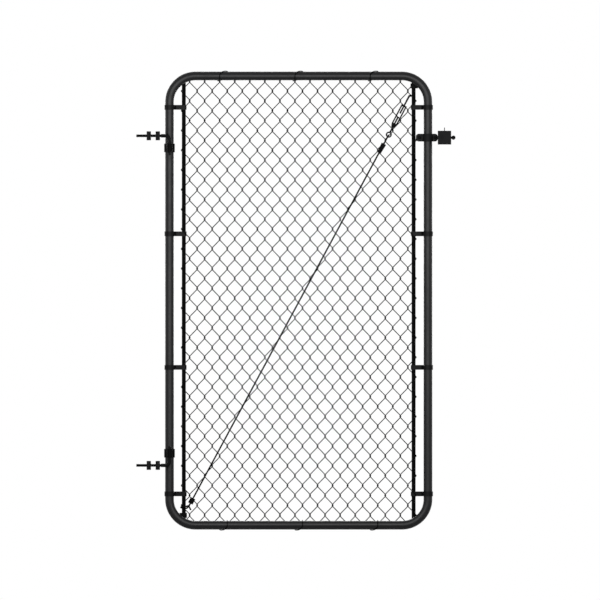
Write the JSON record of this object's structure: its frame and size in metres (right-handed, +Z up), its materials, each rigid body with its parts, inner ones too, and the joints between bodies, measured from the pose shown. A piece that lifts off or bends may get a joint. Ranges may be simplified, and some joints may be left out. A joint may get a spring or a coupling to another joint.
{
  "type": "chain link gate",
  "caption": "Walk gate with a bent tube frame, woven diamond mesh, hook-bolt hinges, diagonal truss cable with turnbuckle, and a fork latch.",
  "frame": {"origin": "middle of the washer face that bears on the hinge post at the lower hook bolt, on the bolt's axis", "axes": "+X across the gate from the hinge side to the latch side, +Y from front to back, +Z up"},
  "size_m": [1.275, 0.098, 1.8368],
  "materials": {
    "frame_paint": "smooth black powder coat, satin",
    "wire_coating": "black polymer coated steel wire, satin",
    "strap_paint": "black powder coat on flat steel, satin",
    "fitting_paint": "black powder coat on pressed and cast steel, low sheen",
    "hook_paint": "black powder coat over rolled thread, low sheen",
    "truss_paint": "black coated steel cable and fittings, low sheen"
  },
  "bodies": {
    "hinge_hooks": {"lower_hook_bolt": "hook_paint", "lower_hook_nuts": "hook_paint", "lower_hook_washers": "hook_paint", "upper_hook_bolt": "hook_paint", "upper_hook_nuts": "hook_paint", "upper_hook_washers": "hook_paint"},
    "leaf": {"hinge_stile": "frame_paint", "latch_stile": "frame_paint", "bottom_rail": "frame_paint", "top_rail": "frame_paint", "hinge_bottom_corner": "frame_paint", "latch_bottom_corner": "frame_paint", "hinge_top_corner": "frame_paint", "latch_top_corner": "frame_paint", "mesh_strip_1": "wire_coating", "mesh_strip_2": "wire_coating", "mesh_strip_3": "wire_coating", "mesh_strip_4": "wire_coating", "hinge_tension_bar": "strap_paint", "latch_tension_bar": "strap_paint", "hinge_side_bands": "strap_paint", "latch_side_bands": "strap_paint", "top_tie_wires": "wire_coating", "bottom_tie_wires": "wire_coating", "lower_hinge_clamp": "fitting_paint", "lower_clamp_bolt": "fitting_paint", "lower_clamp_nut": "fitting_paint", "upper_hinge_clamp": "fitting_paint", "upper_clamp_bolt": "fitting_paint", "upper_clamp_nut": "fitting_paint", "truss_cable": "truss_paint", "upper_ferrule": "truss_paint", "lower_cable_clip": "truss_paint", "turnbuckle_eye": "truss_paint", "turnbuckle_body": "truss_paint", "turnbuckle_hook": "truss_paint", "bottom_corner_clip": "truss_paint", "top_corner_clip": "truss_paint", "front_latch_collar": "fitting_paint", "back_latch_collar": "fitting_paint", "latch_collar_bolts": "fitting_paint", "latch_collar_nuts": "fitting_paint"},
    "latch_fork_body": {"latch_fork": "fitting_paint", "latch_fork_knobs": "fitting_paint", "latch_lift_pin": "fitting_paint"}
  },
  "joints": [
    {"name": "gate_swing", "type": "hinge", "parent": "hinge_hooks", "child": "leaf", "pos_m": [0.0555, 0, 0], "axis": [0, 0, -1], "range_deg": [0, 150]},
    {"name": "fork_lift", "type": "hinge", "parent": "leaf", "child": "latch_fork_body", "pos_m": [1.11648, 0.031, 1.3087], "axis": [0, -1, 0], "range_deg": [0, 90]}
  ]
}
